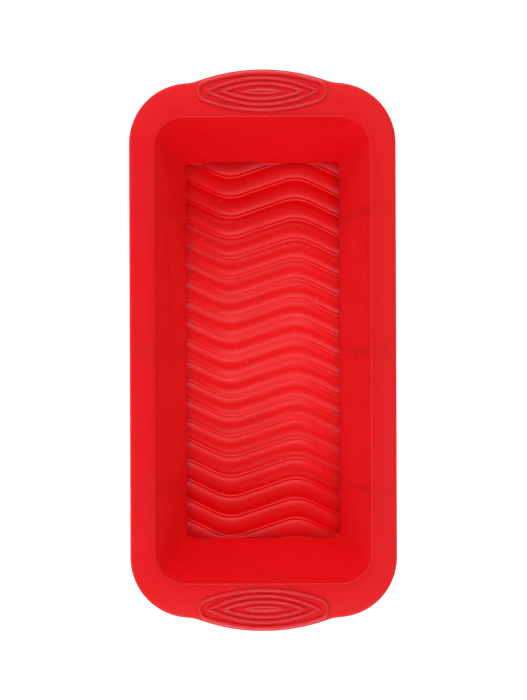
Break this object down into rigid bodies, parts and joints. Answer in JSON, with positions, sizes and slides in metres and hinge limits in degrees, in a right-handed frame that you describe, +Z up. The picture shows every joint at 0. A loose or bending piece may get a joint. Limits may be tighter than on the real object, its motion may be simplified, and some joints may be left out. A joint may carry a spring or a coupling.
{
  "type": "soap loaf mould",
  "caption": "Flexible silicone loaf mould: tapered tub with a wavy ribbed floor, rounded corners, a flat rim and a ringed finger grip at each end.",
  "frame": {"origin": "middle of the flat base, at the level it rests on", "axes": "+Z up out of the opening, +Y along the mould towards the back grip, +X across it to the right"},
  "size_m": [0.133, 0.28, 0.0624],
  "materials": {
    "red_silicone": "satin moulded silicone, solid red, slightly translucent where thin"
  },
  "bodies": {
    "root": {"wave_floor": "red_silicone", "side_wall_left": "red_silicone", "side_wall_right": "red_silicone", "end_wall_back": "red_silicone", "end_wall_front": "red_silicone", "corner_wall_back_left": "red_silicone", "corner_wall_back_right": "red_silicone", "corner_wall_front_left": "red_silicone", "corner_wall_front_right": "red_silicone", "rim_flange": "red_silicone", "grip_tab_back": "red_silicone", "grip_outer_ring_back": "red_silicone", "grip_middle_ring_back": "red_silicone", "grip_inner_ring_back": "red_silicone", "grip_leaf_back": "red_silicone", "grip_tab_front": "red_silicone", "grip_outer_ring_front": "red_silicone", "grip_middle_ring_front": "red_silicone", "grip_inner_ring_front": "red_silicone", "grip_leaf_front": "red_silicone", "rim_gusset_back_left": "red_silicone", "rim_gusset_middle_left": "red_silicone", "rim_gusset_front_left": "red_silicone", "rim_gusset_back_right": "red_silicone", "rim_gusset_middle_right": "red_silicone", "rim_gusset_front_right": "red_silicone"}
  },
  "joints": []
}
